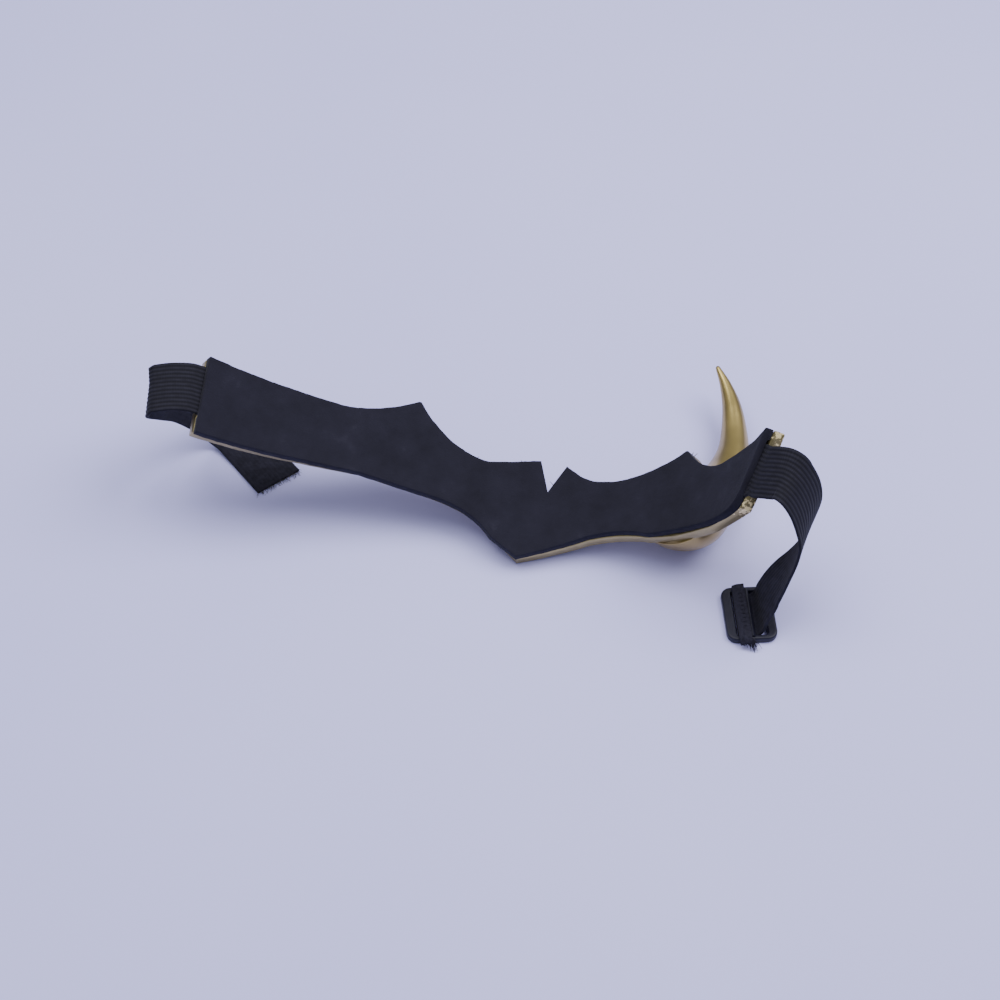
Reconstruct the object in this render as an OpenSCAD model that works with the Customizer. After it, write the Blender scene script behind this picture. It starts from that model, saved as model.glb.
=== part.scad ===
// Horned forehead band: a stiff gold shell with a black lining, one curved horn on the right wing,
// an elastic strap at each end, and a three-bar slider sewn to the end of the right strap.
// It lies on its outer face, the way it rests on a table: +Z up, +X along the band to the wearer's
// right, +Y towards the band's top edge.
//
// The band is drawn in its own frame first: x along the band, y up the forehead, z towards the head.
// A place on the lining's inner face is [s, u]: s is the length along the curve from the nose line,
// u is the height. A depth d is measured from that face outwards, through lining and shell.

/* [Shell and lining] */
// Thickness of the gold shell
shell_t = 6; // [4:0.5:7]
// Thickness of the black lining
lining_t = 4.5; // [3.5:0.5:6]
// Radius of the right wing's curl
right_r = 110; // [105:1:120]
// Radius of the left wing next to the nose line
left_inner_r = 200; // [190:1:220]
// Length of that curved stretch
left_inner_len = 50; // [45:1:55]
// Length of the straight stretch of the left wing
left_flat_len = 70; // [65:1:75]
// Radius of the left wing's outer stretch
left_outer_r = 180; // [170:1:200]

/* [Horn] */
// Distance of the horn's root from the nose line, along the band
horn_s = 70; // [66:1:74]
// Radius of the horn's root
horn_root_r = 19.5; // [17:0.5:20]
// Size of the horn's thickness beyond its root, against the drawn one
horn_scale = 1; // [0.9:0.05:1.1]

/* [Straps] */
// Width of the elastic
strap_w = 25; // [20:1:25]
// Thickness of the elastic
strap_t = 1.5; // [1.2:0.1:1.8]
// Length of elastic held between the lining and the shell
anchor_len = 22; // [15:1:30]

/* [Slider] */
// Overall length of the slider, along its bars
slider_len = 31; // [31:0.5:33]
// Overall width of the slider, across its bars
slider_w = 24; // [24:0.5:26]
// Thickness of the slider's frame
slider_t = 3.6; // [3:0.1:4]
// Width of the slider's two outer bars
slider_bar = 4.6; // [4:0.1:4.7]
// Width of the slider's short sides
slider_rail = 2.5; // [2.2:0.1:2.6]
// Diameter of the middle bar
bar_d = 2.6; // [2.2:0.1:2.8]

/* [Hidden] */

DEG = 180 / PI;
GOLD = "goldenrod";
BLACK = [0.09, 0.09, 0.11];
ELASTIC = [0.13, 0.13, 0.15];
PLASTIC = [0.05, 0.05, 0.06];

// Where the band lies: the nose line's point on the lining, and the band's three turns.
band_pos = [14, -22, 16.3];
band_yaw = -11;
band_lean = 15;
band_roll = 4;
// Moves the whole part so that its origin is the middle of its own footprint.
origin_shift = [10.3, 8.2, 0];

// The sheet that the band is cut from, before its outline and its two ends.
sheet_s = [-185, 145];
sheet_u = [-40, 60];

left_end_s = -167;
right_end_s = 121;
right_end_lean = 29;
left_end_lean = -5;
end_mid_u = 16;
total_t = lining_t + shell_t;
anchor_d = lining_t - strap_t;
// Glue between an anchored strap's end and the shell.
glue_t = 0.1;
slider_pos = [118, -72.5, 0];
slider_yaw = 3;
bar_z = 3.2;

// ---- The band's curve -------------------------------------------------------------------------

// [x, z, angle] of the lining's inner face at length s from the nose line.
function right_wing(s) =
    let (a = s / right_r * DEG)
    [right_r * sin(a), right_r * (1 - cos(a)), a];

function left_wing(r) =
    let (a1 = min(r, left_inner_len) / left_inner_r * DEG,
         flat = max(0, min(r - left_inner_len, left_flat_len)),
         a2 = max(0, r - left_inner_len - left_flat_len) / left_outer_r * DEG)
    [-(left_inner_r * sin(a1) + flat * cos(a1) + left_outer_r * (sin(a1 + a2) - sin(a1))),
     left_inner_r * (1 - cos(a1)) + flat * sin(a1) + left_outer_r * (cos(a1) - cos(a1 + a2)),
     -(a1 + a2)];

function wing(s) = s >= 0 ? right_wing(s) : left_wing(-s);

// [x, z] at length s and depth d.
function skin(s, d) =
    let (p = wing(s))
    [p[0] + d * sin(p[2]), p[1] - d * cos(p[2])];

// A slice of the band between two lengths, two depths and two heights.
module slab(s0, s1, d0, d1, u0, u1) {
    steps = ceil((s1 - s0) / 4);
    at = [for (i = [0 : steps]) s0 + (s1 - s0) * i / steps];
    ring = concat([for (s = at) skin(s, d0)], [for (i = [steps : -1 : 0]) skin(at[i], d1)]);
    translate([0, u1, 0])
        rotate([90, 0, 0])
            linear_extrude(u1 - u0)
                polygon(ring);
}

// Everything beyond one end of the band: side is 1 at the right end and -1 at the left.
module beyond_end(s, lean, side) {
    far = 60;
    p = wing(s);
    translate([p[0], end_mid_u, p[1]])
        rotate([0, -p[2], 0])
            rotate([0, 0, -lean])
                translate([side > 0 ? 0 : -far, -far, -far])
                    cube([far, 2 * far, 2 * far]);
}

// ---- The outlines, as [s, u] ------------------------------------------------------------------

// A round stretch from a to b that leaves and arrives along the lines through c.
function bend(a, c, b, n = 6) =
    [for (i = [0 : n]) let (t = i / n) (1 - t) * (1 - t) * a + 2 * t * (1 - t) * c + t * t * b];

top_edge = concat(
    [[-185, 33.5], [-104, 31]],
    bend([-104, 31], [-86, 30.5], [-64, 44.5]),
    bend([-63, 44.5], [-45, 24], [-24, 23]),
    [[1, 29], [7, 13], [14, 28]],
    bend([20, 24.5], [27, 19.5], [41, 22]),
    bend([41, 22], [56, 25], [75, 35.5]),
    bend([76, 35.5], [88, 20.5], [103, 25.2]),
    [[121, 29.3], [132, 33.6], [150, 41]]);

lining_bottom = concat(
    [[150, 14], [115, 5]],
    bend([113, 2], [109, -4], [94, -5.3]),
    [[72, -6.2]],
    bend([60, -7], [46, -3], [30, -8.5]),
    [[-2, -23.5]],
    bend([-16, -16], [-28, -2.5], [-50, -2.5]),
    [[-84, -1], [-185, -8]]);

shell_bottom = concat(
    [[150, 8], [109, -1.5], [92, -6]],
    [[72, -7.5]],
    bend([58, -7], [44, -4.2], [30, -8.8]),
    [[-1.5, -23]],
    bend([-19, -9.5], [-30, -0.6], [-50, 0.2]),
    [[-84, 1.5], [-130, -2.7], [-185, -7.2]]);

// The outline as a block that cuts right through the band.
module outline(bottom) {
    reach = 200;
    edge = concat(top_edge, bottom);
    translate([0, 0, -reach / 2])
        linear_extrude(2 * reach)
            polygon([for (p = edge) [wing(p[0])[0], p[1]]]);
}

module band_plate(d0, d1, bottom) {
    difference() {
        intersection() {
            slab(sheet_s[0], sheet_s[1], d0, d1, sheet_u[0], sheet_u[1]);
            outline(bottom);
        }
        beyond_end(left_end_s, left_end_lean, -1);
        beyond_end(right_end_s, right_end_lean, 1);
    }
}

module lie_down() {
    translate(origin_shift + band_pos)
        rotate([0, 0, band_yaw])
            rotate([band_lean, 0, 0])
                rotate([0, band_roll, 0])
                    children();
}

// The pockets for the straps' ends, in the lining's glued face. They run out past the band's ends.
past_end = 8;

module left_pocket(d1 = lining_t) {
    slab(left_end_s - past_end, left_end_s + anchor_len, anchor_d, d1, end_mid_u - strap_w / 2,
         end_mid_u + strap_w / 2);
}

module right_pocket(d1 = lining_t) {
    slab(right_end_s - anchor_len, right_end_s + past_end, anchor_d, d1,
         end_mid_u - strap_w / 2, end_mid_u + strap_w / 2);
}

// ---- Ribbons and the horn ---------------------------------------------------------------------

function unit(v) = v / norm(v);

// A point on the smooth curve through the rows of a list, at place t.
function along(rows, t) =
    let (i = min(floor(t), len(rows) - 2), f = t - i,
         p0 = rows[max(i - 1, 0)], p1 = rows[i], p2 = rows[i + 1],
         p3 = rows[min(i + 2, len(rows) - 1)])
    0.5 * (2 * p1 + f * (p2 - p0) + f * f * (2 * p0 - 5 * p1 + 4 * p2 - p3)
           + f * f * f * (3 * p1 - p0 - 3 * p2 + p3));

// Joins rings of equal size into one closed solid.
module skin_rings(rings) {
    n = len(rings[0]);
    last = len(rings) - 1;
    points = [for (r = rings) each r];
    sides = [for (i = [0 : last - 1]) for (j = [0 : n - 1])
        let (k = (j + 1) % n) each
            [[i * n + j, (i + 1) * n + k, i * n + k], [i * n + j, (i + 1) * n + j, (i + 1) * n + k]]];
    start = [[for (j = [0 : n - 1]) j]];
    finish = [[for (j = [n - 1 : -1 : 0]) last * n + j]];
    polyhedron(points, concat(start, sides, finish));
}

// A flat strap along rows of [centre, direction of its width].
module ribbon(rows, per_row = 3) {
    count = (len(rows) - 1) * per_row;
    centres = [for (r = rows) r[0]];
    widths = [for (r = rows) r[1]];
    mid = [for (i = [0 : count]) along(centres, i / per_row)];
    rings = [for (i = [0 : count])
        let (ahead = unit(mid[min(i + 1, count)] - mid[max(i - 1, 0)]),
             w = along(widths, i / per_row),
             side = unit(w - (w * ahead) * ahead) * strap_w / 2,
             out = unit(cross(ahead, side)) * strap_t / 2)
        [mid[i] + side + out, mid[i] - side + out, mid[i] - side - out, mid[i] + side - out]];
    skin_rings(rings);
}

// The left strap leaves the band, runs out to a fold and comes back under the wing.
left_root_rows = [
    [[-143.3, 11.1, 68.4], [0.11, 0.95, 0.3]],
    [[-148, 10.6, 70.8], [0.1, 0.95, 0.3]],
    [[-156, 10, 71.8], [0.03, 0.95, 0.3]],
    [[-163, 9.5, 71.2], [-0.05, 0.95, 0.3]]];

left_tail_rows = [
    [[-165.1, 9.8, 70.1], [-0.05, 0.95, 0.3]],
    [[-166.6, 10.3, 68], [0, 0.95, 0.28]],
    [[-167.3, 15, 62], [0.08, 0.95, 0.22]],
    [[-164, 25, 50], [0.2, 0.95, 0.25]],
    [[-158.5, 35, 37], [0.35, 0.9, 0.25]],
    [[-149.5, 41.5, 22], [0.5, 0.8, 0.28]],
    [[-142.5, 43.5, 11], [0.62, 0.75, 0.2]],
    [[-136, 41.5, 4], [0.74, 0.67, 0.06]],
    [[-127.4, 32, 1.2], [0.78, 0.62, 0]],
    [[-119.4, 21.8, 0.85], [0.78, 0.62, 0]],
    [[-111.5, 11.5, 0.8], [0.78, 0.62, 0]]];

// The right strap leaves the band, bends over the shell's end and falls to the slider.
right_rows = [
    [[118, -41.4, 70.5], [0.39, 0.68, 0.63]],
    [[119.6, -45.1, 73.5], [0.39, 0.68, 0.63]],
    [[123, -48.8, 77.4], [0.42, 0.68, 0.6]],
    [[128, -51.8, 79.4], [0.51, 0.71, 0.49]],
    [[133, -55.4, 77.4], [0.58, 0.77, 0.25]],
    [[137.8, -57.3, 69.5], [0.61, 0.79, 0.1]],
    [[140.6, -58.7, 60], [0.56, 0.83, -0.04]],
    [[141, -60.2, 50], [0.39, 0.89, -0.21]],
    [[139, -62.6, 40], [0.25, 0.9, -0.36]],
    [[135, -65, 31], [0.13, 0.94, -0.32]],
    [[131, -66.7, 23.5], [0.01, 0.98, -0.22]],
    [[127.4, -68.4, 16], [-0.06, 0.99, -0.12]],
    [[124.4, -71, 9.8], [-0.06, 1, -0.04]]];

// The stretch at the slider, as [x, z] across its bars: down through the near slot, under the
// middle bar, round in a slack loop, and back on top.
loop_r = 2.3;
loop_x = -4.1;
loop_z = 3.15;
loop_path = concat(
    [[4.6, 4.2], [2.8, 1.5], [-0.5, loop_z - loop_r]],
    [for (a = [-90 : -36 : -270]) [loop_x + loop_r * cos(a), loop_z + loop_r * sin(a)]],
    [[-2, 5.75], [0, 5.6]]);

function at_slider(p) =
    [slider_pos[0] + p[0] * cos(slider_yaw), slider_pos[1] + p[0] * sin(slider_yaw), p[1]];

loop_rows = [for (p = loop_path) [at_slider(p), [-sin(slider_yaw), cos(slider_yaw), 0]]];

// The horn's centre line and radius, from the shell's face at its root:
// [along the band, up, outwards, radius].
horn_rows = [
    [0.5, 11, -4, horn_root_r],
    [0.5, 11.5, 5, horn_root_r - 0.2],
    [1.5, 18.5, 14, 16.4],
    [2, 30, 23, 12.8],
    [2.5, 42, 30, 10.5],
    [2.2, 57, 35, 8.3],
    [-0.6, 72, 37.5, 6.6],
    [-4, 87, 37, 4.9],
    [-8, 99, 34.5, 3],
    [-12, 108, 31, 0.9]];

// ---- The pieces -------------------------------------------------------------------------------

module shell() {
    color(GOLD)
        lie_down()
            band_plate(lining_t, total_t, shell_bottom);
}

module lining() {
    color(BLACK)
        lie_down()
            difference() {
                band_plate(0, lining_t, lining_bottom);
                left_pocket();
                right_pocket();
            }
}

module horn_body() {
    sides = 20;
    per_row = 3;
    count = (len(horn_rows) - 1) * per_row;
    mid = [for (i = [0 : count]) along(horn_rows, i / per_row)];
    place = [for (m = mid) [m[0], m[1], -m[2]]];
    rings = [for (i = [0 : count])
        let (ahead = unit(place[min(i + 1, count)] - place[max(i - 1, 0)]),
             a = unit(cross([1, 0, 0], ahead)), b = cross(ahead, a),
             r = mid[i][3] * (i > per_row ? horn_scale : 1))
        [for (j = [0 : sides - 1])
            place[i] + r * cos(360 * j / sides) * a + r * sin(360 * j / sides) * b]];
    skin_rings(rings);
}

module horn() {
    above = 10;
    p = wing(horn_s);
    root = skin(horn_s, total_t);
    color(GOLD)
        lie_down()
            difference() {
                translate([root[0], 0, root[1]])
                    rotate([0, -p[2], 0])
                        horn_body();
                slab(0, sheet_s[1], -above, total_t, sheet_u[0], sheet_u[1]);
            }
}

module strap_left_anchor() {
    color(ELASTIC)
        lie_down()
            difference() {
                left_pocket(lining_t - glue_t);
                beyond_end(left_end_s, left_end_lean, -1);
            }
}

module strap_left_root() {
    color(ELASTIC)
        translate(origin_shift)
            ribbon(left_root_rows);
}

module strap_left_tail() {
    color(ELASTIC)
        translate(origin_shift)
            ribbon(left_tail_rows);
}

module strap_right_anchor() {
    color(ELASTIC)
        lie_down()
            difference() {
                right_pocket(lining_t - glue_t);
                beyond_end(right_end_s, right_end_lean, 1);
            }
}

module strap_right() {
    color(ELASTIC)
        translate(origin_shift)
            ribbon(concat(right_rows, loop_rows));
}

// Stitches through both layers of the loop, next to the middle bar.
module tack_thread() {
    stitches = 9;
    pitch = 2.4;
    color(BLACK)
        translate(origin_shift + slider_pos)
            rotate([0, 0, slider_yaw])
                for (i = [0 : stitches - 1])
                    translate([-3.3, (i - (stitches - 1) / 2) * pitch, 0.3])
                        cylinder(d = 0.8, h = 6, $fn = 16);
}

module slider_slot() {
    reach = slider_w / 2 - slider_bar;
    length = slider_len - 2 * slider_rail;
    translate([-reach, -length / 2, -1])
        cube([2 * reach, length, slider_t + 2]);
}

module slider() {
    corner = 4;
    color(PLASTIC)
        translate(origin_shift + slider_pos)
            rotate([0, 0, slider_yaw]) {
                difference() {
                    union() {
                        translate([-slider_w / 2 + corner, -slider_len / 2, 0])
                            cube([slider_w - 2 * corner, slider_len, slider_t]);
                        translate([-slider_w / 2, -slider_len / 2 + corner, 0])
                            cube([slider_w, slider_len - 2 * corner, slider_t]);
                        for (x = [-1, 1])
                            for (y = [-1, 1])
                                translate([x * (slider_w / 2 - corner), y * (slider_len / 2 - corner), 0])
                                    cylinder(r = corner, h = slider_t, $fn = 48);
                    }
                    slider_slot();
                }
                translate([0, -slider_len / 2 + 1, bar_z])
                    rotate([-90, 0, 0])
                        cylinder(d = bar_d, h = slider_len - 2, $fn = 32);
            }
}

shell();
lining();
horn();
strap_left_anchor();
strap_left_root();
strap_left_tail();
strap_right_anchor();
strap_right();
tack_thread();
slider();
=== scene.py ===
"""Looks for the horned forehead band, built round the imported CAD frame.

Shapes are worked out in millimetres, in the part's own frame, and turned into metres when a mesh
is made. The band's curve, its outlines and the straps' routes repeat the values in part.scad.
"""

import math

import bpy
import numpy as np
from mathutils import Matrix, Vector
from mathutils import noise as field


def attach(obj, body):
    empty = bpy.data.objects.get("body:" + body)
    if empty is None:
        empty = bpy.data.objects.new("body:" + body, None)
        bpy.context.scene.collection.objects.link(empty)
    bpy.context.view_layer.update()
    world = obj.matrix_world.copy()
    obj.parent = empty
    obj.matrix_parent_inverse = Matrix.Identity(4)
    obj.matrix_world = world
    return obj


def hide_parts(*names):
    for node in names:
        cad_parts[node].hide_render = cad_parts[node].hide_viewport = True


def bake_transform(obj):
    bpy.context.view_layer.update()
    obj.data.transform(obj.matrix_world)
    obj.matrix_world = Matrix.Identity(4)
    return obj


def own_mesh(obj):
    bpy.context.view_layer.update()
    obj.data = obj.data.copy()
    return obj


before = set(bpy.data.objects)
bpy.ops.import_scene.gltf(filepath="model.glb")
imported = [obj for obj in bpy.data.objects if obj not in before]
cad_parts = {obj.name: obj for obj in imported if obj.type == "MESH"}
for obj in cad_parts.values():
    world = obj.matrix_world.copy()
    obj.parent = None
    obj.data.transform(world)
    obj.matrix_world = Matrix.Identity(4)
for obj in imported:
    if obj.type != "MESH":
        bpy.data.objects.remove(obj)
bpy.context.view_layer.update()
rng = np.random.default_rng(7)
MM = 0.001

# ---- The band's curve, as in part.scad --------------------------------------------------------

SHELL_T = 6.0
LINING_T = 4.5
TOTAL_T = SHELL_T + LINING_T
RIGHT_R = 110.0
LEFT_INNER_R = 200.0
LEFT_INNER_LEN = 50.0
LEFT_FLAT_LEN = 70.0
LEFT_OUTER_R = 180.0
LEFT_END_S = -167.0
RIGHT_END_S = 121.0
RIGHT_LEAN = math.radians(29)
LEFT_LEAN = math.radians(-5)
LEAN_REACH = 30.0
END_MID_U = 16.0
STRAP_W = 25.0
STRAP_T = 1.5
RIBS = 12
PLAIN_U = 60.0
ORIGIN_SHIFT = np.array([10.3, 8.2, 0.0])
BAND_POS = np.array([14.0, -22.0, 16.3])


def turn(axis, degrees):
    """A rotation matrix about x, y or z."""
    c, s = math.cos(math.radians(degrees)), math.sin(math.radians(degrees))
    i, j = {"x": (1, 2), "y": (2, 0), "z": (0, 1)}[axis]
    m = np.eye(3)
    m[i, i], m[i, j], m[j, i], m[j, j] = c, -s, s, c
    return m


BAND_TURN = turn("z", -11) @ turn("x", 15) @ turn("y", 4)


def wing(s):
    """x, z and angle of the lining's inner face at lengths s from the nose line."""
    s = np.asarray(s, float)
    a = s / RIGHT_R
    right = (RIGHT_R * np.sin(a), RIGHT_R * (1 - np.cos(a)), a)
    r = -s
    a1 = np.minimum(r, LEFT_INNER_LEN) / LEFT_INNER_R
    flat = np.clip(r - LEFT_INNER_LEN, 0, LEFT_FLAT_LEN)
    a2 = np.maximum(r - LEFT_INNER_LEN - LEFT_FLAT_LEN, 0) / LEFT_OUTER_R
    left = (
        -(LEFT_INNER_R * np.sin(a1) + flat * np.cos(a1) + LEFT_OUTER_R * (np.sin(a1 + a2) - np.sin(a1))),
        LEFT_INNER_R * (1 - np.cos(a1)) + flat * np.sin(a1) + LEFT_OUTER_R * (np.cos(a1) - np.cos(a1 + a2)),
        -(a1 + a2),
    )
    return tuple(np.where(s >= 0, x, y) for x, y in zip(right, left))


def to_part(local):
    """Points of the band's own frame, in the part's frame."""
    return np.asarray(local) @ BAND_TURN.T + BAND_POS + ORIGIN_SHIFT


def band_local(s, u, d):
    """Places at length s, height u and depth d, in the band's own frame."""
    x, z, a = wing(s)
    return np.stack([x + d * np.sin(a), np.broadcast_to(u, x.shape), z - d * np.cos(a)], -1)


def band_point(s, u, d):
    """The same places, in the part's frame."""
    return to_part(band_local(s, u, d))


def bend(a, c, b, n=10):
    """A round stretch from a to b that leaves and arrives along the lines through c."""
    a, c, b = np.array(a, float), np.array(c, float), np.array(b, float)
    t = np.linspace(0, 1, n + 1)[:, None]
    return ((1 - t) ** 2 * a + 2 * t * (1 - t) * c + t ** 2 * b).tolist()


TOP_EDGE = (
    [[-185, 33.5], [-104, 31]]
    + bend([-104, 31], [-86, 30.5], [-64, 44.5])
    + bend([-63, 44.5], [-45, 24], [-24, 23])
    + [[1, 29], [7, 13], [14, 28]]
    + bend([20, 24.5], [27, 19.5], [41, 22])
    + bend([41, 22], [56, 25], [75, 35.5])
    + bend([76, 35.5], [88, 20.5], [103, 25.2])
    + [[121, 29.3], [132, 33.6], [150, 41]]
)
LINING_BOTTOM = (
    [[150, 14], [115, 5]]
    + bend([113, 2], [109, -4], [94, -5.3])
    + [[72, -6.2]]
    + bend([60, -7], [46, -3], [30, -8.5])
    + [[-2, -23.5]]
    + bend([-16, -16], [-28, -2.5], [-50, -2.5])
    + [[-84, -1], [-185, -8]]
)
SHELL_BOTTOM = (
    [[150, 8], [109, -1.5], [92, -6], [72, -7.5]]
    + bend([58, -7], [44, -4.2], [30, -8.8])
    + [[-1.5, -23]]
    + bend([-19, -9.5], [-30, -0.6], [-50, 0.2])
    + [[-84, 1.5], [-130, -2.7], [-185, -7.2]]
)


def height(edge, s):
    """Height of an outline at lengths s."""
    points = np.array(sorted(edge, key=lambda p: p[0]), float)
    return np.interp(s, points[:, 0], points[:, 1])


def end_shift(u):
    """How far the two slanting ends move along the band at height u: (left, right)."""
    rise = np.asarray(u, float) - END_MID_U
    return rise * math.tan(LEFT_LEAN), rise * math.tan(RIGHT_LEAN)


def leaning(s0, u):
    """Length of the point at height u on the column that stands at s0: columns lean near an end."""
    left, right = end_shift(u)
    left_share = np.clip(1 - (s0 - LEFT_END_S) / LEAN_REACH, 0, 1)
    right_share = np.clip(1 - (RIGHT_END_S - s0) / LEAN_REACH, 0, 1)
    return s0 + left * left_share ** 2 + right * right_share ** 2


# ---- Mesh helpers ------------------------------------------------------------------------------

def make_mesh(name, points, faces, uvs=None):
    """A smooth mesh object from points in millimetres."""
    mesh = bpy.data.meshes.new(name)
    mesh.from_pydata((np.asarray(points) * MM).tolist(), [], faces)
    mesh.validate()
    if uvs is not None:
        layer = mesh.uv_layers.new(name="UVMap")
        index = np.zeros(len(mesh.loops), np.int32)
        mesh.loops.foreach_get("vertex_index", index)
        layer.data.foreach_set("uv", np.asarray(uvs, np.float32)[index].ravel())
    mesh.update()
    mesh.polygons.foreach_set("use_smooth", np.ones(len(mesh.polygons), bool))
    obj = bpy.data.objects.new(name, mesh)
    bpy.context.scene.collection.objects.link(obj)
    return obj


def smooth_by_angle(obj, degrees):
    """Keeps edges sharper than this angle sharp."""
    obj.data.set_sharp_from_angle(angle=math.radians(degrees))


def ring_faces(rings, per_ring):
    """Faces of a tube of rings that all have per_ring points, with a cap at each end."""
    faces = []
    for i in range(rings - 1):
        low = i * per_ring
        high = low + per_ring
        for j in range(per_ring):
            k = (j + 1) % per_ring
            faces.append((low + j, low + k, high + k, high + j))
    faces.append(tuple(range(per_ring))[::-1])
    faces.append(tuple((rings - 1) * per_ring + j for j in range(per_ring)))
    return faces


def catmull(rows, t):
    """A point on the smooth curve through the rows, at place t, as in part.scad."""
    i = min(int(t), len(rows) - 2)
    f = t - i
    p0, p1, p2 = rows[max(i - 1, 0)], rows[i], rows[i + 1]
    p3 = rows[min(i + 2, len(rows) - 1)]
    return 0.5 * (2 * p1 + f * (p2 - p0) + f * f * (2 * p0 - 5 * p1 + 4 * p2 - p3)
                  + f ** 3 * (3 * p1 - p0 - 3 * p2 + p3))


def unit(v):
    """The vector or vectors v, made 1 long."""
    v = np.asarray(v, float)
    return v / np.linalg.norm(v, axis=-1, keepdims=True)


def smooth_noise(x, seed, wave):
    """A soft random line: values at x that change over the given wavelength."""
    gen = np.random.default_rng(seed)
    x = np.asarray(x, float) / wave
    low = math.floor(x.min()) - 1
    knots = gen.uniform(-1, 1, int(math.ceil(x.max())) - low + 3)
    i = np.floor(x).astype(int) - low
    f = x - np.floor(x)
    f = f * f * (3 - 2 * f)
    return knots[i] * (1 - f) + knots[i + 1] * f


# ---- Materials ---------------------------------------------------------------------------------

def new_material(name, colour, roughness, metallic=0.0):
    """A material, its node tree and its shader. A pattern may be linked over these plain values."""
    mat = bpy.data.materials.new(name)
    mat.use_nodes = True
    tree = mat.node_tree
    shader = tree.nodes["Principled BSDF"]
    shader.inputs["Base Color"].default_value = (*colour, 1)
    shader.inputs["Roughness"].default_value = roughness
    shader.inputs["Metallic"].default_value = metallic
    return mat, tree, shader


def add_node(tree, kind, **values):
    """A node with these input values or settings."""
    node = tree.nodes.new(kind)
    for key, value in values.items():
        if key in node.inputs:
            node.inputs[key].default_value = value
        else:
            setattr(node, key, value)
    return node


def colour_ramp(tree, factor, stops):
    """A ramp from one colour to the next: stops are (place, (r, g, b))."""
    ramp = tree.nodes.new("ShaderNodeValToRGB")
    elements = ramp.color_ramp.elements
    elements[0].position, elements[0].color = stops[0][0], (*stops[0][1], 1)
    elements[1].position, elements[1].color = stops[-1][0], (*stops[-1][1], 1)
    for place, colour in stops[1:-1]:
        elements.new(place).color = (*colour, 1)
    tree.links.new(factor, ramp.inputs["Fac"])
    return ramp.outputs["Color"]


def noise(tree, coords, scale, detail=3.0, roughness=0.55):
    """Soft grey noise at these coordinates."""
    node = add_node(tree, "ShaderNodeTexNoise", Scale=scale, Detail=detail, Roughness=roughness)
    tree.links.new(coords, node.inputs["Vector"])
    return node.outputs["Fac"]


def bump(tree, shader, height_socket, strength, distance, before=None):
    """Fine relief on the shader, over the relief that came before."""
    node = add_node(tree, "ShaderNodeBump", Strength=strength, Distance=distance)
    tree.links.new(height_socket, node.inputs["Height"])
    if before is not None:
        tree.links.new(before, node.inputs["Normal"])
    tree.links.new(node.outputs["Normal"], shader.inputs["Normal"])
    return node.outputs["Normal"]


def object_coords(tree):
    """Coordinates fixed to the object."""
    return tree.nodes.new("ShaderNodeTexCoord").outputs["Object"]


def calculate(tree, operation, *values):
    """A maths node's result. Each value is a socket or a plain number."""
    node = add_node(tree, "ShaderNodeMath", operation=operation)
    for value, place in zip(values, node.inputs):
        if isinstance(value, bpy.types.NodeSocket):
            tree.links.new(value, place)
        else:
            place.default_value = value
    return node.outputs[0]


def map_range(tree, value, start, end):
    """value, moved from the range start = (low, high) to the range end and held within it."""
    node = add_node(tree, "ShaderNodeMapRange")
    for place, number in zip(("From Min", "From Max", "To Min", "To Max"), (*start, *end)):
        node.inputs[place].default_value = number
    tree.links.new(value, node.inputs["Value"])
    return node.outputs["Result"]


def mix_colours(tree, factor, first, second):
    """From the socket first to second, which is a socket or a colour, by factor."""
    node = add_node(tree, "ShaderNodeMix", data_type="RGBA")
    tree.links.new(factor, node.inputs["Factor"])
    tree.links.new(first, node.inputs[6])
    if isinstance(second, bpy.types.NodeSocket):
        tree.links.new(second, node.inputs[7])
    else:
        node.inputs[7].default_value = (*second, 1)
    return node.outputs[2]


GOLD_METALLIC = 0.92
FLAKE_METALLIC = 0.25
FLAKE_COLOUR = (0.95, 0.80, 0.42)
CHIP_REACH = 0.010


def gold_material(name, colour, worn, chips=()):
    """Satin gold paint with faint spray grain and broad soft patches.

    worn is how much rougher it is than new paint. chips are places, in metres, round which the
    paint is knocked off in pale yellow flakes.
    """
    mat, tree, shader = new_material(name, colour, 0.30, GOLD_METALLIC)
    coords = object_coords(tree)
    dark = tuple(0.78 * c for c in colour)
    light = tuple(min(1, 1.15 * c) for c in colour)
    paint = colour_ramp(tree, noise(tree, coords, 45, 2), [(0.3, dark), (0.7, light)])
    flakes = noise(tree, coords, 620, 3, 0.7)
    metal = None
    for place in chips:
        away = add_node(tree, "ShaderNodeVectorMath", operation="DISTANCE")
        tree.links.new(coords, away.inputs[0])
        away.inputs[1].default_value = place
        near = map_range(tree, away.outputs["Value"], (0.0, CHIP_REACH), (0.34, 0.0))
        bare = map_range(tree, calculate(tree, "ADD", near, flakes), (0.70, 0.76), (0.0, 1.0))
        paint = mix_colours(tree, bare, paint, FLAKE_COLOUR)
        duller = map_range(tree, bare, (0.0, 1.0), (GOLD_METALLIC, FLAKE_METALLIC))
        metal = duller if metal is None else calculate(tree, "MINIMUM", metal, duller)
    if metal is not None:
        tree.links.new(metal, shader.inputs["Metallic"])
    tree.links.new(paint, shader.inputs["Base Color"])
    rough = map_range(tree, noise(tree, coords, 220, 4), (0.0, 1.0), (0.24 + worn, 0.37 + worn))
    tree.links.new(rough, shader.inputs["Roughness"])
    bump(tree, shader, noise(tree, coords, 1400, 2), 0.12, 0.0002)
    return mat


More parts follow.
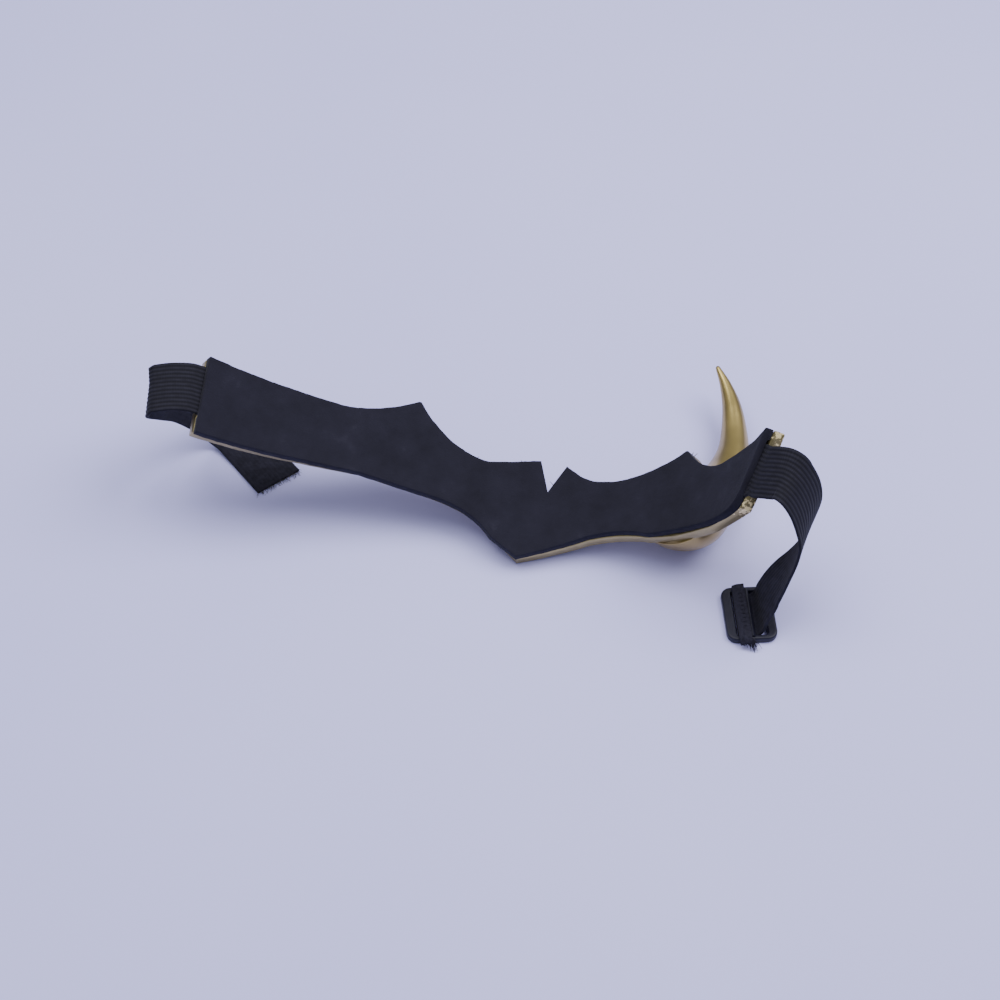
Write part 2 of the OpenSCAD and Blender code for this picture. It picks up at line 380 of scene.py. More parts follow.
def lining_material():
    """Matt black cloth: a short nap over soft unevenness, with paler rubbed patches."""
    mat, tree, shader = new_material("black_lining", (0.03, 0.03, 0.04), 0.92)
    coords = object_coords(tree)
    rub = noise(tree, coords, 60, 5, 0.62)
    tree.links.new(
        colour_ramp(tree, rub, [(0.3, (0.0082, 0.0078, 0.0155)), (0.62, (0.013, 0.0124, 0.0235)),
                                (0.82, (0.026, 0.025, 0.041))]),
        shader.inputs["Base Color"])
    shader.inputs["Sheen Weight"].default_value = 0.06
    shader.inputs["Sheen Roughness"].default_value = 0.5
    shader.inputs["Specular IOR Level"].default_value = 0.2
    nap = bump(tree, shader, noise(tree, coords, 1600, 3), 0.5, 0.0004)
    bump(tree, shader, noise(tree, coords, 160, 3), 0.25, 0.0012, nap)
    return mat


def elastic_material():
    """Woven elastic: ribs with fine cross threads on one face, their grooves painted darker as shade, a
    plain back.

    UV is (across, along) in millimetres, and the plain face's lies PLAIN_U further across.
    """
    mat, tree, shader = new_material("black_elastic", (0.02, 0.02, 0.028), 0.85)
    uv = tree.nodes.new("ShaderNodeUVMap")
    uv.uv_map = "UVMap"
    split = tree.nodes.new("ShaderNodeSeparateXYZ")
    tree.links.new(uv.outputs["UV"], split.inputs[0])
    across = split.outputs["X"]
    wave = calculate(tree, "SINE", calculate(tree, "MULTIPLY", across, RIBS * math.pi / STRAP_W))
    ribs = calculate(tree, "MULTIPLY", wave, wave)
    weave = add_node(tree, "ShaderNodeTexWave", Scale=0.42, Distortion=1.2, Detail=2.0)
    weave.bands_direction = "Y"
    weave.inputs["Detail Scale"].default_value = 3.0
    tree.links.new(uv.outputs["UV"], weave.inputs["Vector"])
    dust = noise(tree, object_coords(tree), 300, 4)
    # the rib profile darkens the grooves between the ribs: painted shade, laid over the real weave pattern
    # and dust
    weave_and_groove_shade = calculate(tree, "MULTIPLY_ADD", weave.outputs["Fac"], 0.30, ribs)
    ribbed = colour_ramp(tree, calculate(tree, "MULTIPLY", weave_and_groove_shade, dust),
                         [(0.03, (0.0065, 0.0063, 0.011)), (0.7, (0.018, 0.0176, 0.029))])
    plain = colour_ramp(tree, dust, [(0.35, (0.0095, 0.0092, 0.0175)), (0.7, (0.019, 0.0185, 0.033))])
    back = calculate(tree, "GREATER_THAN", across, PLAIN_U / 2)
    tree.links.new(mix_colours(tree, back, ribbed, plain), shader.inputs["Base Color"])
    shader.inputs["Sheen Weight"].default_value = 0.05
    shader.inputs["Sheen Roughness"].default_value = 0.4
    shader.inputs["Specular IOR Level"].default_value = 0.2
    bump(tree, shader, weave.outputs["Fac"], 0.35, 0.0002)
    return mat


def plastic_material():
    """Moulded plastic with a slight orange-peel skin, glossy in places and duller in others."""
    mat, tree, shader = new_material("black_plastic", (0.009, 0.009, 0.021), 0.4)
    shader.inputs["Specular IOR Level"].default_value = 0.28
    coords = object_coords(tree)
    rough = map_range(tree, noise(tree, coords, 500, 5), (0.0, 1.0), (0.26, 0.55))
    tree.links.new(rough, shader.inputs["Roughness"])
    bump(tree, shader, noise(tree, coords, 700, 2), 0.1, 0.0002)
    return mat


def cut_end_material():
    """The elastic's felted cut end: no ribs, only fine fibres."""
    mat, tree, shader = new_material("black_elastic_cut", (0.014, 0.014, 0.022), 0.9)
    coords = object_coords(tree)
    fibre = noise(tree, coords, 900, 4)
    tree.links.new(colour_ramp(tree, fibre, [(0.3, (0.012, 0.0116, 0.02)), (0.7, (0.026, 0.0252, 0.041))]),
                   shader.inputs["Base Color"])
    shader.inputs["Specular IOR Level"].default_value = 0.15
    bump(tree, shader, fibre, 0.5, 0.0003)
    return mat


def thread_material():
    """Twisted black thread, slightly furry."""
    mat, tree, shader = new_material("black_thread", (0.03, 0.03, 0.036), 0.7)
    coords = object_coords(tree)
    twist = noise(tree, coords, 2500, 2)
    tree.links.new(colour_ramp(tree, twist, [(0.3, (0.016, 0.016, 0.02)), (0.7, (0.055, 0.055, 0.065))]),
                   shader.inputs["Base Color"])
    shader.inputs["Sheen Weight"].default_value = 0.3
    return mat


# the shell's two corners at its right end, where the paint is worn
END_CORNERS = [tuple((band_point(np.array([s]), np.array([u]), 8.0)[0] * MM).tolist())
               for s, u in ((111.0, 1.0), (130.0, 32.5))]
GOLD_SHELL = gold_material("gold_shell", (0.37, 0.315, 0.15), 0.08, END_CORNERS)
GOLD_HORN = gold_material("gold_horn", (0.42, 0.325, 0.12), 0.0)
LINING = lining_material()
ELASTIC = elastic_material()
PLASTIC = plastic_material()
CUT_END = cut_end_material()
THREAD = thread_material()


def finish_piece(obj, material, body):
    """Gives a piece its material and slot, and its body when one is given."""
    obj.data.materials.clear()
    obj.data.materials.append(material)
    if body:
        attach(obj, body)
    return obj


# ---- Shell and lining --------------------------------------------------------------------------

END_CLEAR = 8.0
COLUMN_STEP = 1.2
LEAST_GAP = 0.25
CAP_LEAD = 0.35
FACE_STEPS = 26
POCKET_LEN = 22.0
POCKET_PAST = 9.0


def columns():
    """Where the band's cross-sections stand along it: every corner of an outline, and between."""
    corners = [p[0] for p in TOP_EDGE + LINING_BOTTOM + SHELL_BOTTOM]
    corners = [s for s in corners if LEFT_END_S + END_CLEAR < s < RIGHT_END_S - END_CLEAR]
    marks = sorted(set([LEFT_END_S, RIGHT_END_S] + [round(float(s), 2) for s in corners]))
    places = []
    for a, b in zip(marks[:-1], marks[1:]):
        steps = max(1, int(round((b - a) / COLUMN_STEP)))
        places += [a + (b - a) * i / steps for i in range(steps)]
    places.append(marks[-1])
    kept = [places[0]]
    for s in places[1:]:
        if s - kept[-1] > LEAST_GAP:
            kept.append(s)
    return np.array(kept)


def plate(name, d0, d1, bottom, r, ragged, pocket_d=None):
    """A plate between two depths inside the outlines, with edges rounded by r.

    ragged is how far the cut edges wander, and pocket_d the depth left where a strap's end lies.
    """
    s0 = columns()
    s0 = np.concatenate([[s0[0], s0[0] + CAP_LEAD], s0[1:-1], [s0[-1] - CAP_LEAD, s0[-1]]])
    count = len(s0)
    # the first and last columns are drawn in, which bevels the ends
    inset = np.zeros(count)
    inset[0] = inset[-1] = CAP_LEAD

    arc = np.linspace(0, math.pi / 2, 5)
    points = []
    uvs = []
    top_wave = smooth_noise(s0, 11, 2.4) * ragged + smooth_noise(s0, 12, 0.9) * ragged * 0.5
    low_wave = smooth_noise(s0, 13, 2.4) * ragged + smooth_noise(s0, 14, 0.9) * ragged * 0.5
    for i in range(count):
        # a leaning column's length and its outline's height depend on each other
        s_top = s_low = s0[i]
        for _ in range(6):
            u_top = height(TOP_EDGE, s_top)
            u_low = height(bottom, s_low)
            s_top = leaning(s0[i], u_top)
            s_low = leaning(s0[i], u_low)
        u_top = u_top + top_wave[i] - inset[i]
        u_low = u_low + low_wave[i] + inset[i]
        near_d, far_d = d0 + inset[i], d1 - inset[i]
        middle_d = (near_d + far_d) / 2
        inner = [(u_low + r + (u_top - u_low - 2 * r) * v, near_d) for v in np.linspace(0, 1, FACE_STEPS)]
        outer = [(u, far_d) for u, _ in inner[::-1]]
        ring = inner + [(u_top - r + r * math.sin(a), near_d + r - r * math.cos(a)) for a in arc[1:]]
        ring += [(u_top, middle_d)]
        ring += [(u_top - r + r * math.cos(a), far_d - r + r * math.sin(a)) for a in arc[:-1]]
        ring += outer + [(u_low + r - r * math.sin(a), far_d - r + r * math.cos(a)) for a in arc[1:]]
        ring += [(u_low, middle_d)]
        ring += [(u_low + r - r * math.sin(a), near_d + r - r * math.cos(a)) for a in arc[-2:0:-1]]
        ring = np.array(ring)
        s = leaning(s0[i], ring[:, 0])
        d = ring[:, 1]
        if pocket_d is not None:
            for low, high in ((LEFT_END_S - POCKET_PAST, LEFT_END_S + POCKET_LEN),
                              (RIGHT_END_S - POCKET_LEN, RIGHT_END_S + POCKET_PAST)):
                inside = (s > low) & (s < high) & (abs(ring[:, 0] - END_MID_U) < STRAP_W / 2 + 0.3)
                d = np.where(inside & (d > pocket_d), pocket_d, d)
        points.append(band_local(s, ring[:, 0], d))
        uvs.append(np.stack([s, ring[:, 0]], -1))
    faces = ring_faces(count, len(points[0]))
    return make_mesh(name, to_part(np.concatenate(points)), faces, np.concatenate(uvs))


def wander(obj, amount, wave, seed):
    """Moves a mesh's points along their normals by soft noise: amount and wave are in millimetres."""
    mesh = obj.data
    offset = Vector((seed * 3.7, seed * 1.3, seed * 7.1))
    moved = []
    for v in mesh.vertices:
        shift = field.noise(v.co / (wave * MM) + offset)
        moved.append(v.co + v.normal * (shift * amount * MM))
    for v, co in zip(mesh.vertices, moved):
        v.co = co
    mesh.update()


shell = plate("shell_painted", LINING_T, TOTAL_T, SHELL_BOTTOM, 0.6, 0.05)
wander(shell, 0.12, 14, 2)
smooth_by_angle(shell, 50)
finish_piece(shell, GOLD_SHELL, "band")
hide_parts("shell")

lining = plate("lining_cloth", 0.0, LINING_T - 0.05, LINING_BOTTOM, 0.3, 0.1, LINING_T - STRAP_T - 0.1)
wander(lining, 0.12, 9, 5)
wander(lining, 0.06, 2.2, 6)
smooth_by_angle(lining, 60)
finish_piece(lining, LINING, "band")
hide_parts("lining")


# ---- Horn --------------------------------------------------------------------------------------

HORN_S = 70.0
GLUE_DEPTH = 0.8
ROOT_SPREAD = 0.3
ROOT_SPREAD_ROWS = 2.5
# places along, up and out from the horn's root, and the radius there
HORN_ROWS = np.array([
    [0.5, 11, -4, 19.5],
    [0.5, 11.5, 5, 19.3],
    [1.5, 18.5, 14, 16.4],
    [2, 30, 23, 12.8],
    [2.5, 42, 30, 10.5],
    [2.2, 57, 35, 8.3],
    [-0.6, 72, 37.5, 6.6],
    [-4, 87, 37, 4.9],
    [-8, 99, 34.5, 3],
    [-12, 108, 31, 1.2],
], float)


def horn_mesh():
    """The horn as rings along its curve, wider along the band at the root and closed by a round tip."""
    sides = 72
    per_row = 10
    count = (len(HORN_ROWS) - 1) * per_row
    mid = np.array([catmull(HORN_ROWS, i / per_row) for i in range(count + 1)])
    place = np.stack([mid[:, 0], mid[:, 1], -mid[:, 2]], -1)
    points = []
    angle = np.linspace(0, 2 * math.pi, sides, endpoint=False)[:, None]
    for i in range(count + 1):
        ahead = unit(place[min(i + 1, count)] - place[max(i - 1, 0)])
        a = unit(np.cross([1.0, 0, 0], ahead))
        b = np.cross(ahead, a)
        r = mid[i, 3]
        spread = 1 + ROOT_SPREAD * max(0.0, 1 - i / (ROOT_SPREAD_ROWS * per_row))
        points.append(place[i] + r * np.cos(angle) * a + r * spread * np.sin(angle) * b)
    tip_r = mid[-1, 3]
    ahead = unit(place[-1] - place[-2])
    for degrees in (30, 60, 80):
        k = math.radians(degrees)
        points.append(place[-1] + ahead * tip_r * math.sin(k) + math.cos(k) * (points[count] - place[-1]))
    points = np.concatenate(points)
    x, z, angle_at = wing(HORN_S)
    root_x, root_z = x + TOTAL_T * np.sin(angle_at), z - TOTAL_T * np.cos(angle_at)
    c, s = math.cos(angle_at), math.sin(angle_at)
    local = np.stack([root_x + points[:, 0] * c - points[:, 2] * s, points[:, 1],
                      root_z + points[:, 0] * s + points[:, 2] * c], -1)
    # nothing of the horn stands deeper in the shell than a glue line
    reach = np.hypot(local[:, 0], RIGHT_R - local[:, 2])
    least = RIGHT_R + TOTAL_T - GLUE_DEPTH
    grow = np.maximum(1.0, least / reach)
    local[:, 0] *= grow
    local[:, 2] = RIGHT_R - (RIGHT_R - local[:, 2]) * grow
    return make_mesh("horn_smooth", to_part(local), ring_faces(len(points) // sides, sides))


horn = horn_mesh()
finish_piece(horn, GOLD_HORN, "band")
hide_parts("horn")


# ---- Straps ------------------------------------------------------------------------------------

STRAP_STEP = 0.7
RIB_POINTS = 8
EDGE_SHARE = 0.03
FLARE_LEN = 7.3
FLARE_TILT = 0.11
DROOP_FROM = 15.0
DROOP = 0.18
POCKET_STOPS = (12.0, 6.0, 1.0)


def rows(*items):
    """Rows of a strap's route: its centre, and the direction of its width."""
    return np.array([list(c) + list(w) for c, w in items], float)


LEFT_ROOT_ROWS = rows(
    ((-143.3, 11.1, 68.4), (0.11, 0.95, 0.3)),
    ((-148, 10.6, 70.8), (0.1, 0.95, 0.3)),
    ((-156, 10, 71.8), (0.03, 0.95, 0.3)),
    ((-163, 9.5, 71.2), (-0.05, 0.95, 0.3)))
LEFT_TAIL_ROWS = rows(
    ((-165.1, 9.8, 70.1), (-0.05, 0.95, 0.3)),
    ((-166.6, 10.3, 68), (0, 0.95, 0.28)),
    ((-167.3, 15, 62), (0.08, 0.95, 0.22)),
    ((-164, 25, 50), (0.2, 0.95, 0.25)),
    ((-158.5, 35, 37), (0.35, 0.9, 0.25)),
    ((-149.5, 41.5, 22), (0.5, 0.8, 0.28)),
    ((-142.5, 43.5, 11), (0.62, 0.75, 0.2)),
    ((-136, 41.5, 4), (0.74, 0.67, 0.06)),
    ((-127.4, 32, 1.2), (0.78, 0.62, 0)),
    ((-119.4, 21.8, 0.85), (0.78, 0.62, 0)),
    ((-111.5, 11.5, 0.8), (0.78, 0.62, 0)))
RIGHT_ROWS = rows(
    ((118, -41.4, 70.5), (0.39, 0.68, 0.63)),
    ((119.6, -45.1, 73.5), (0.39, 0.68, 0.63)),
    ((123, -48.8, 77.4), (0.42, 0.68, 0.6)),
    ((128, -51.8, 79.4), (0.51, 0.71, 0.49)),
    ((133, -55.4, 77.4), (0.58, 0.77, 0.25)),
    ((137.8, -57.3, 69.5), (0.61, 0.79, 0.1)),
    ((140.6, -58.7, 60), (0.56, 0.83, -0.04)),
    ((141, -60.2, 50), (0.39, 0.89, -0.21)),
    ((139, -62.6, 40), (0.25, 0.9, -0.36)),
    ((135, -65, 31), (0.13, 0.94, -0.32)),
    ((131, -66.7, 23.5), (0.01, 0.98, -0.22)),
    ((127.4, -68.4, 16), (-0.06, 0.99, -0.12)),
    ((124.4, -71, 9.8), (-0.06, 1, -0.04)))


def strap_path(all_rows, step=STRAP_STEP):
    """Centre, width direction and length along, at even steps of a route."""
    fine = np.array([catmull(all_rows, t) for t in np.linspace(0, len(all_rows) - 1, 40 * len(all_rows))])
    length = np.concatenate([[0], np.cumsum(np.linalg.norm(np.diff(fine[:, :3], axis=0), axis=1))])
    at = np.linspace(0, length[-1], max(3, int(round(length[-1] / step)) + 1))
    return np.stack([np.interp(at, length, fine[:, k]) for k in range(6)], -1), at


def strap_mesh(name, all_rows, start=0.0, stop=None, step=STRAP_STEP, ribs_out=True, flare=0.0, roll=0.0):
    """A ribbed elastic strap along a route, from one length along it to another.

    ribs_out is which face has the ribs. flare is how much wider the strap gets near the route's end,
    and roll the length before that end where ridges across the strap take the place of the ribs.
    """
    path, at = strap_path(all_rows, step)
    stop = at[-1] if stop is None else stop
    across = np.linspace(-1, 1, RIBS * RIB_POINTS + 1)
    ridge = np.abs(np.sin(np.linspace(0, RIBS * math.pi, len(across)))) ** 1.6
    half = STRAP_T / 2
    edge = 0.35 + 0.65 * np.clip((1 - np.abs(across)) / EDGE_SHARE, 0, 1) ** 0.5
    points, uvs, widths = [], [], []
    keep = [i for i in range(len(at)) if start - 1e-6 <= at[i] <= stop + 1e-6]
    for i in keep:
        ahead = unit(path[min(i + 1, len(at) - 1), :3] - path[max(i - 1, 0), :3])
        w = path[i, 3:]
        side = unit(w - (w @ ahead) * ahead)
        out = np.cross(ahead, side)
        left = at[-1] - at[i]
        rolled = np.clip((roll - left) / 4.0, 0, 1) if roll else 0.0
        opened = np.clip(FLARE_LEN - left, 0, 1) if flare else 0.0
        wide = STRAP_W / 2 * (1 + opened * (flare + FLARE_TILT * np.sign(-across)))
        widths.append(STRAP_W * (1 + opened * flare))
        cross_ridge = 0.5 + 0.5 * math.sin(at[i] * 2.4)
        shape = ridge * (1 - rolled) + cross_ridge * rolled
        relief = 0.22 + 0.2 * rolled
        ribbed = (half - relief + relief * shape) * edge
        plain = (half - 0.08 + 0.08 * shape) * edge
        outer, inner = (ribbed, plain) if ribs_out else (plain, ribbed)
        droop = np.maximum(-across * wide - DROOP_FROM, 0)[:, None] ** 2 * np.array([0, 0, -DROOP]) * opened
        middle = path[i, :3] + droop + np.outer(across * wide, side)
        front = middle + np.outer(outer, out)
        back = middle - np.outer(inner, out)
        points.append(np.concatenate([front, back[::-1]]))
        uv = np.stack([across * STRAP_W / 2, np.full(len(across), at[i])], -1)
        shift = np.array([PLAIN_U, 0])
        uvs.append(np.concatenate([uv, uv[::-1] + shift] if ribs_out else [uv + shift, uv[::-1]]))
    faces = ring_faces(len(keep), len(points[0]))
    obj = make_mesh(name, np.concatenate(points) + ORIGIN_SHIFT, faces, np.concatenate(uvs))
    smooth_by_angle(obj, 75)
    return obj, path[keep]


def exit_rows(end_s, inwards):
    """A strap's rows inside its pocket, up to just inside the band's end."""
    depth = LINING_T - STRAP_T / 2 - 0.05
    up = BAND_TURN @ np.array([0, 1.0, 0])
    found = []
    for back in POCKET_STOPS:
        s = np.array([end_s + inwards * back])
        centre = band_point(s, np.array([END_MID_U]), depth)[0] - ORIGIN_SHIFT
        found.append(np.concatenate([centre, up]))
    return np.array(found)


def length_at(all_rows, point):
    """How far along a route the place nearest to a point is."""
    path, at = strap_path(all_rows)
    return at[np.argmin(np.linalg.norm(path[:, :3] - point, axis=1))]


left_all = np.concatenate([exit_rows(LEFT_END_S, 1), LEFT_ROOT_ROWS, LEFT_TAIL_ROWS])
left_split = length_at(left_all, LEFT_ROOT_ROWS[2, :3])
left_near, _ = strap_mesh("strap_left_near", left_all, 0, left_split, ribs_out=False)
finish_piece(left_near, ELASTIC, None)
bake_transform(left_near)
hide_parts("strap_left_anchor", "strap_left_root")

left_far, tail_path = strap_mesh("strap_left_free", left_all, left_split, ribs_out=False)
finish_piece(left_far, ELASTIC, None)
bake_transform(left_far)
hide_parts("strap_left_tail")

# the loop at the slider: places across the slider and up from the table
SLIDER_POS = np.array([118.0, -72.5, 0.0])
SLIDER_YAW = 3.0
LOOP_R = 2.3
LOOP_X = -4.1
LOOP_Z = 3.15
slider_x = turn("z", SLIDER_YAW)[:, 0]
slider_y = turn("z", SLIDER_YAW)[:, 1]
loop_places = (
    [(4.6, 4.2), (2.8, 1.5), (-0.5, LOOP_Z - LOOP_R)]
    + [(LOOP_X + LOOP_R * math.cos(math.radians(a)), LOOP_Z + LOOP_R * math.sin(math.radians(a)))
       for a in range(-90, -271, -36)]
    + [(-2, 5.75), (0, 5.6)])
LOOP_ROWS = np.array([
    np.concatenate([SLIDER_POS + x * slider_x + np.array([0, 0, z]), slider_y]) for x, z in loop_places])

right_all = np.concatenate([exit_rows(RIGHT_END_S, -1), RIGHT_ROWS, LOOP_ROWS])
right_split = length_at(right_all, RIGHT_ROWS[2, :3])
right_near, _ = strap_mesh("strap_right_near", right_all, 0, right_split)
finish_piece(right_near, ELASTIC, None)
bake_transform(right_near)
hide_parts("strap_right_anchor")

ROLL_LEN = 10.5
roll_start = strap_path(right_all)[1][-1] - ROLL_LEN
right_far, _ = strap_mesh("strap_right_long", right_all, right_split, roll_start)
finish_piece(right_far, ELASTIC, "right_strap")
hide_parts("strap_right")

# the looped strap's cut end, spread over the slider's frame
right_roll, right_path = strap_mesh("strap_right_roll", right_all, roll_start - STRAP_STEP,
                                    roll_start + ROLL_LEN - 1.0, 0.35, flare=0.35, roll=ROLL_LEN + 4)
finish_piece(right_roll, CUT_END, "right_strap")

slider_middle = SLIDER_POS + ORIGIN_SHIFT
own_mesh(right_roll)


# ---- Slider ------------------------------------------------------------------------------------

def rounded_rectangle(wide, tall, r, steps=8):
    """Corner points of a rounded rectangle, anticlockwise."""
    found = []
    for cx, cy, start in ((1, 1, 0), (-1, 1, 90), (-1, -1, 180), (1, -1, 270)):
        for i in range(steps + 1):
            a = math.radians(start + 90 * i / steps)
            found.append((cx * (wide / 2 - r) + r * math.cos(a), cy * (tall / 2 - r) + r * math.sin(a)))
    return found


SLIDER_W = 24.0
SLIDER_LEN = 31.0
SLIDER_T = 3.6
SLIDER_CORNER = 5.0
SLIDER_EDGE = 0.9
HOLE_W = 14.3
HOLE_LEN = 26.0
HOLE_CORNER = 1.4
BAR_Z = 3.2
BAR_D = 2.6
BAR_END = 1.4


def slider_mesh(name):
    """The frame as a rounded outline with one long hole, its edges rolled over, and a round bar."""
    curve = bpy.data.curves.new(name, "CURVE")
    curve.dimensions = "2D"
    curve.fill_mode = "BOTH"
    curve.extrude = SLIDER_T / 2 - SLIDER_EDGE
    curve.bevel_depth = SLIDER_EDGE
    curve.bevel_resolution = 5
    curve.offset = -SLIDER_EDGE
    for outline in (rounded_rectangle(SLIDER_W, SLIDER_LEN, SLIDER_CORNER),
                    rounded_rectangle(HOLE_W, HOLE_LEN, HOLE_CORNER)):
        spline = curve.splines.new("POLY")
        spline.points.add(len(outline) - 1)
        for point, (x, y) in zip(spline.points, outline):
            point.co = (x, y, 0, 1)
        spline.use_cyclic_u = True
    holder = bpy.data.objects.new(name, curve)
    bpy.context.scene.collection.objects.link(holder)
    bpy.context.view_layer.update()
    graph = bpy.context.evaluated_depsgraph_get()
    mesh = bpy.data.meshes.new_from_object(holder.evaluated_get(graph))
    bpy.data.objects.remove(holder)
    co = np.array([v.co for v in mesh.vertices])
    co[:, 2] += SLIDER_T / 2
    faces = [tuple(p.vertices) for p in mesh.polygons]
    sides = 24
    reach = SLIDER_LEN / 2 - BAR_END
    ys = np.linspace(-reach, reach, 25)
    angle = np.linspace(0, 2 * math.pi, sides, endpoint=False)
    bar_r = BAR_D / 2
    bar = np.concatenate([
        np.stack([bar_r * np.cos(angle), np.full(sides, y), BAR_Z + bar_r * np.sin(angle)], -1) for y in ys])
    faces += [tuple(len(co) + i for i in f) for f in ring_faces(len(ys), sides)]
    points = np.concatenate([co, bar]) @ turn("z", SLIDER_YAW).T + slider_middle
    obj = make_mesh(name, points, faces)
    smooth_by_angle(obj, 40)
    return obj


slider = slider_mesh("slider_moulded")
finish_piece(slider, PLASTIC, "slider")
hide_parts("slider")


# ---- Threads -----------------------------------------------------------------------------------

def thread_mesh(name, lines, radius):
    """Thin tapering threads along lists of points, all in one mesh."""
    sides = 5
    angle = np.linspace(0, 2 * math.pi, sides, endpoint=False)[:, None]
    points, faces = [], []
    for line in lines:
        line = np.asarray(line, float)
        first = sides * len(points)
        for i in range(len(line)):
            ahead = unit(line[min(i + 1, len(line) - 1)] - line[max(i - 1, 0)])
            a = unit(np.cross(ahead, [0.31, 0.87, 0.4]))
            b = np.cross(ahead, a)
            r = radius * (1 - 0.6 * i / (len(line) - 1))
            points.append(line[i] + r * np.cos(angle) * a + r * np.sin(angle) * b)
        faces += [tuple(first + k for k in f) for f in ring_faces(len(line), sides)]
    return make_mesh(name, np.concatenate(points), faces)


THREAD_STOPS = np.linspace(0, 1, 6)
LEAST_Z = 0.2


def fray(path, count, reach, spread):
    """Loose threads that leave the cut end of a strap."""
    end = path[-1, :3] + ORIGIN_SHIFT
    ahead = unit(path[-1, :3] - path[-3, :3])
    width = path[-1, 3:]
    side = unit(width - (width @ ahead) * ahead)
    lines = []
    for _ in range(count):
        start = end + side * (rng.uniform(-1, 1) * STRAP_W / 2) + np.array([0, 0, rng.uniform(-0.4, 0.4)])
        way = unit(ahead + side * rng.normal(0, spread) + np.array([0, 0, rng.normal(0, spread * 0.5)]))
        curl = side * rng.normal(0, spread) + np.array([0, 0, rng.normal(0, spread * 0.4)])
        long = reach * rng.uniform(0.35, 1.0)
        line = [start + way * (long * t) + curl * (long * t * t) - ahead * 0.6 for t in THREAD_STOPS]
        lines.append([np.array([p[0], p[1], max(p[2], LEAST_Z)]) for p in line])
    return lines


def tuft(count):
    """The thicker tuft at the spread end's near corner, longest on the side of the slider's bar."""
    corner = slider_middle - 17.0 * slider_y + np.array([0, 0, 4.6])
    lines = []
    for _ in range(count):
        along = rng.uniform(-5.8, 0.0)
        start = corner + slider_x * along + np.array([0, 0, rng.uniform(-0.6, 0.6)]) + slider_y * 0.8
        long = rng.uniform(1.2, 2.4) * (2.1 + 0.2 * along)
        way = slider_x * rng.normal(0.45, 0.25) - slider_y
        lines.append([start + way * (long * t) - np.array([0, 0, 0.8 * long * t * t]) for t in THREAD_STOPS])
    return lines


tail_fray = thread_mesh("strap_left_fray", fray(tail_path, 90, 4.2, 0.35), 0.11)
finish_piece(tail_fray, THREAD, "left_tail")

loop_fray = thread_mesh("strap_right_fray", fray(right_path, 30, 1.6, 0.35) + tuft(90), 0.2)
finish_piece(loop_fray, CUT_END, "right_strap")
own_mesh(loop_fray)


STITCHES = 9
STITCH_PITCH = 2.4
# one stitch: places across the slider and up from the table
STITCH = [(-4.1, 4.4), (-4.1, 6.2), (-3.8, 6.55), (-3.3, 6.6), (-2.8, 6.55), (-2.5, 6.2), (-2.5, 4.4)]


def stitches():
    """The bar tack: a row of short threads over the loop's end, each going down into it."""
    lines = []
    for i in range(STITCHES):
        middle = slider_middle + (i - (STITCHES - 1) / 2) * STITCH_PITCH * slider_y
        lines.append([middle + x * slider_x + np.array([0, 0, z]) for x, z in STITCH])
    return lines


tack = thread_mesh("tack_stitches", stitches(), 0.22)
finish_piece(tack, CUT_END, "right_strap")
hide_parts("tack_thread")


# cut fibres on the top edge: place along it, lean and length
STRAYS = ((79.0, 0.6, 2.8), (78.0, 0.2, 2.2), (9.0, -0.8, 2.6), (46.0, 0.2, 1.2), (-30.0, 0.4, 1.3),
          (-8.0, -0.5, 1.4))


def stray_threads():
    """A few cut fibres that stand off the lining's edge."""
    lines = []
    for s, lean, long in STRAYS:
        s_at = np.array([s])
        base = band_point(s_at, height(TOP_EDGE, s_at), 1.2)[0]
        up = unit(BAND_TURN @ np.array([lean, 1.0, 0.25]))
        side = BAND_TURN @ np.array([1.0, 0.1, 0.3])
        lines.append([base + up * (long * t - 0.3) + side * (0.8 * lean * t * t) for t in THREAD_STOPS])
    return lines


strays = thread_mesh("lining_stray_threads", stray_threads(), 0.24)
finish_piece(strays, THREAD, "band")


# ---- Stage -------------------------------------------------------------------------------------

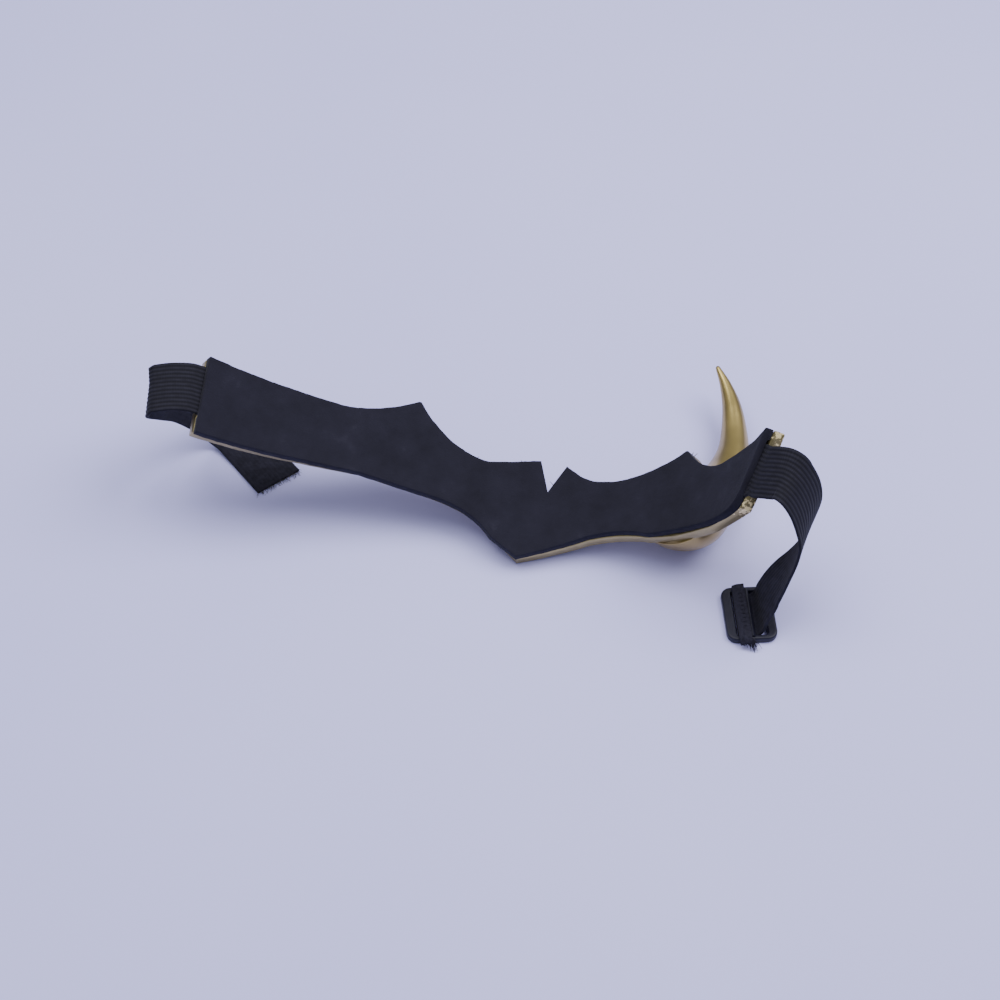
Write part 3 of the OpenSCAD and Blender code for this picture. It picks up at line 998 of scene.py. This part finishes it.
def floor():
    """A plain pale table that reaches far to each side, in metres."""
    mesh = bpy.data.meshes.new("floor")
    far = 6.0
    mesh.from_pydata([(-far, -far, 0), (far, -far, 0), (far, far, 0), (-far, far, 0)], [], [(0, 1, 2, 3)])
    obj = bpy.data.objects.new("floor", mesh)
    bpy.context.scene.collection.objects.link(obj)
    mat, tree, shader = new_material("floor_paper", (0.6, 0.61, 0.96), 0.75)
    coords = object_coords(tree)
    cloud = noise(tree, coords, 3.0, 2)
    tree.links.new(colour_ramp(tree, cloud, [(0.3, (0.55, 0.55, 0.98)), (0.7, (0.585, 0.585, 1.0))]),
                   shader.inputs["Base Color"])
    shader.inputs["Specular IOR Level"].default_value = 0.2
    mesh.materials.append(mat)


def area_light(name, place, size, power, colour):
    """A round soft light, aimed at the part."""
    data = bpy.data.lights.new(name, "AREA")
    data.shape = "DISK"
    data.size = size
    data.energy = power
    data.color = colour
    obj = bpy.data.objects.new(name, data)
    bpy.context.scene.collection.objects.link(obj)
    obj.location = place
    obj.rotation_mode = "QUATERNION"
    obj.rotation_quaternion = (-Vector(place)).to_track_quat("-Z", "Y")


def lights():
    """A soft room that is brighter above, and two large lights."""
    world = bpy.data.worlds.new("soft_room")
    world.use_nodes = True
    tree = world.node_tree
    background = tree.nodes["Background"]
    background.inputs["Strength"].default_value = 0.7
    direction = tree.nodes.new("ShaderNodeTexCoord").outputs["Generated"]
    split = tree.nodes.new("ShaderNodeSeparateXYZ")
    tree.links.new(direction, split.inputs[0])
    sky = colour_ramp(tree, split.outputs["Z"], [(0.0, (0.16, 0.16, 0.20)), (0.35, (0.58, 0.59, 0.68)),
                                                 (1.0, (1.0, 1.0, 1.05))])
    tree.links.new(sky, background.inputs["Color"])
    bpy.context.scene.world = world
    area_light("key", (0.75, 0.2, 1.15), 1.0, 14.5, (0.99, 0.98, 1.0))
    area_light("overhead", (-0.3, 0.2, 1.35), 1.1, 13.0, (0.97, 0.97, 1.0))


CAMERA_ELEVATION = math.radians(50)
CAMERA_VIEW = math.radians(30)
CAMERA_DISTANCE = 0.933


def camera():
    """Looks at the part from in front and above."""
    data = bpy.data.cameras.new("camera")
    data.sensor_width = 36.0
    data.angle = CAMERA_VIEW
    obj = bpy.data.objects.new("camera", data)
    bpy.context.scene.collection.objects.link(obj)
    aim = Vector((ORIGIN_SHIFT * MM).tolist())
    back = Vector((0, -math.cos(CAMERA_ELEVATION), math.sin(CAMERA_ELEVATION)))
    obj.location = aim + back * CAMERA_DISTANCE
    obj.rotation_mode = "QUATERNION"
    obj.rotation_quaternion = (-back).to_track_quat("-Z", "Y")
    bpy.context.scene.camera = obj


floor()
lights()
camera()
